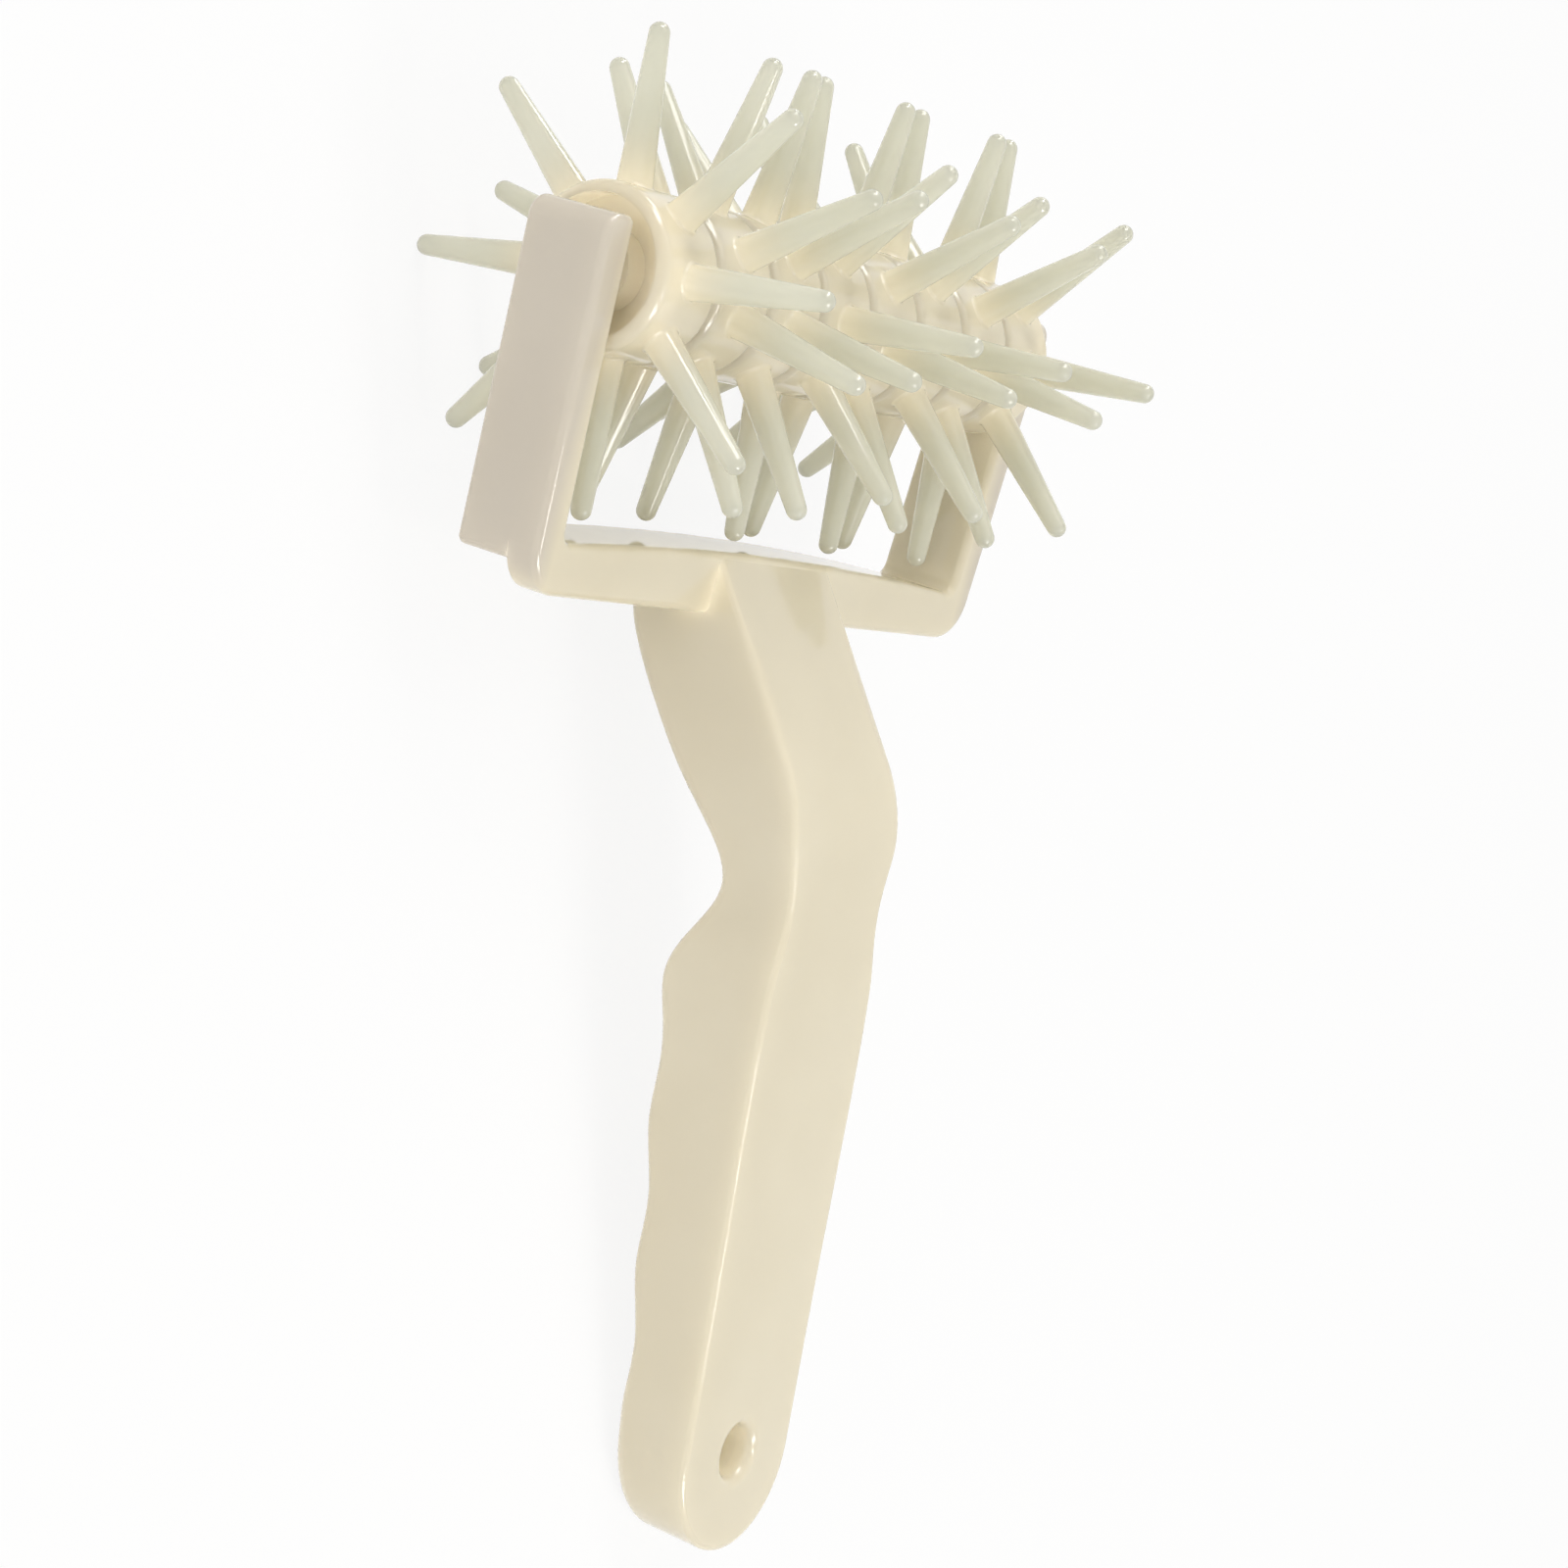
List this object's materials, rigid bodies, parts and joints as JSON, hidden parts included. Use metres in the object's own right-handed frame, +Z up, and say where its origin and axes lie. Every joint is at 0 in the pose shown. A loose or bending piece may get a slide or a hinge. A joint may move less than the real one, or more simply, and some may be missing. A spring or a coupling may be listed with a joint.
{
  "type": "dough docker",
  "caption": "Hand-held dough docker: a roller of spiked rings turning freely in a plastic fork, with a cranked grip moulded to the fork and a hole to hang it by.",
  "frame": {"origin": "middle of the tool's footprint on the table it lies on", "axes": "+Z up, +X along the axle, +Y from the grip towards the roller"},
  "size_m": [0.1208, 0.2002, 0.0622],
  "materials": {
    "ivory_plastic": "smooth moulded gloss",
    "spike_plastic": "smooth moulded gloss, slightly translucent",
    "shaft_plastic": "plain moulded"
  },
  "bodies": {
    "frame": {"handle_fork": "ivory_plastic"},
    "roller": {"shaft": "shaft_plastic", "ring_1": "spike_plastic", "ring_2": "spike_plastic", "ring_3": "spike_plastic", "ring_4": "spike_plastic", "ring_5": "spike_plastic", "ring_6": "spike_plastic", "ring_7": "spike_plastic", "ring_8": "spike_plastic"}
  },
  "joints": [
    {"name": "roller_spin", "type": "hinge", "parent": "frame", "child": "roller", "pos_m": [0, 0.06903, 0.03112], "axis": [1, 0, 0], "continuous": true}
  ]
}
